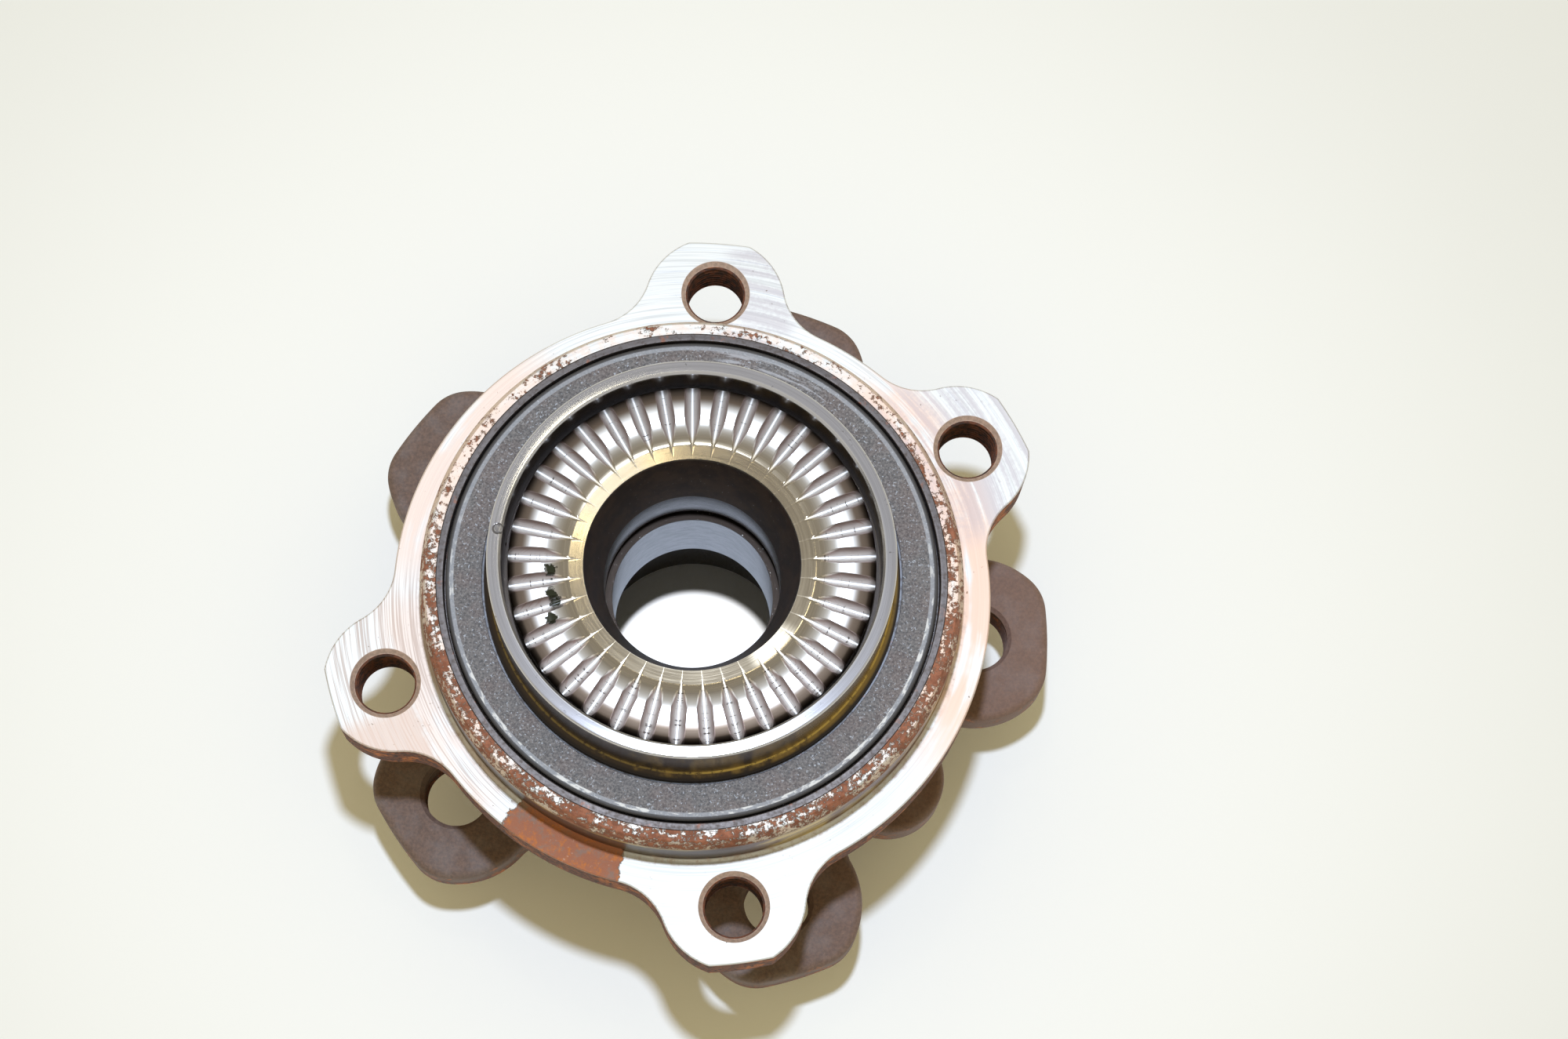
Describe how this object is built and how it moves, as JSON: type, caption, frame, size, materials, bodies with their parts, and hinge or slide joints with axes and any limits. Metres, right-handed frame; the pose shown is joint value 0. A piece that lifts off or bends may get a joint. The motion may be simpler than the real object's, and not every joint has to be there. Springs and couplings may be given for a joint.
{
  "type": "wheel hub bearing",
  "caption": "Driven wheel hub bearing unit: a lobed wheel flange and spigot on a stem that turns in an eared outer ring, its inner end rolled into a face-splined collar.",
  "frame": {"origin": "on the bearing axis, in the plane of the face that the wheel and brake disc bolt against", "axes": "+Z along the bearing axis, inboard towards the knuckle and drive shaft; +X through one wheel bolt hole"},
  "size_m": [0.1386, 0.1399, 0.085],
  "materials": {
    "ring_steel": "turned and ground bearing steel with light rust",
    "hub_steel": "forged steel, brown and oily, the rolled collar polished",
    "race_steel": "ground bearing steel, blue-grey",
    "seal_steel": "pressed stainless steel",
    "seal_rubber": "black sealing rubber",
    "encoder_rubber": "charcoal grey magnetised rubber, granular",
    "cage_plastic": "glass-filled cage plastic",
    "ball_steel": "lapped bearing balls"
  },
  "bodies": {
    "outer": {"outer_ring": "ring_steel", "seal_case_inboard": "seal_steel", "seal_lips_inboard": "seal_rubber", "seal_case_outboard": "seal_steel", "seal_lips_outboard": "seal_rubber"},
    "hub": {"hub": "hub_steel", "inner_ring": "race_steel", "flinger": "seal_steel", "encoder_ring": "encoder_rubber"},
    "outboard_cage": {"cage_outboard": "cage_plastic", "ball_outboard_01": "ball_steel", "ball_outboard_02": "ball_steel", "ball_outboard_03": "ball_steel", "ball_outboard_04": "ball_steel", "ball_outboard_05": "ball_steel", "ball_outboard_06": "ball_steel", "ball_outboard_07": "ball_steel", "ball_outboard_08": "ball_steel", "ball_outboard_09": "ball_steel", "ball_outboard_10": "ball_steel", "ball_outboard_11": "ball_steel", "ball_outboard_12": "ball_steel", "ball_outboard_13": "ball_steel", "ball_outboard_14": "ball_steel", "ball_outboard_15": "ball_steel"},
    "inboard_cage": {"cage_inboard": "cage_plastic", "ball_inboard_01": "ball_steel", "ball_inboard_02": "ball_steel", "ball_inboard_03": "ball_steel", "ball_inboard_04": "ball_steel", "ball_inboard_05": "ball_steel", "ball_inboard_06": "ball_steel", "ball_inboard_07": "ball_steel", "ball_inboard_08": "ball_steel", "ball_inboard_09": "ball_steel", "ball_inboard_10": "ball_steel", "ball_inboard_11": "ball_steel", "ball_inboard_12": "ball_steel", "ball_inboard_13": "ball_steel", "ball_inboard_14": "ball_steel", "ball_inboard_15": "ball_steel"}
  },
  "joints": [
    {"name": "hub_spin", "type": "hinge", "parent": "outer", "child": "hub", "pos_m": [0, 0, 0], "axis": [0, 0, 1], "continuous": true},
    {"name": "outboard_cage_spin", "type": "hinge", "parent": "outer", "child": "outboard_cage", "pos_m": [0, 0, 0], "axis": [0, 0, 1], "continuous": true},
    {"name": "inboard_cage_spin", "type": "hinge", "parent": "outer", "child": "inboard_cage", "pos_m": [0, 0, 0], "axis": [0, 0, 1], "continuous": true}
  ],
  "couplings": [
    {"joint": "outboard_cage_spin", "follows": "hub_spin", "ratio": 0.43874},
    {"joint": "inboard_cage_spin", "follows": "hub_spin", "ratio": 0.43874}
  ]
}
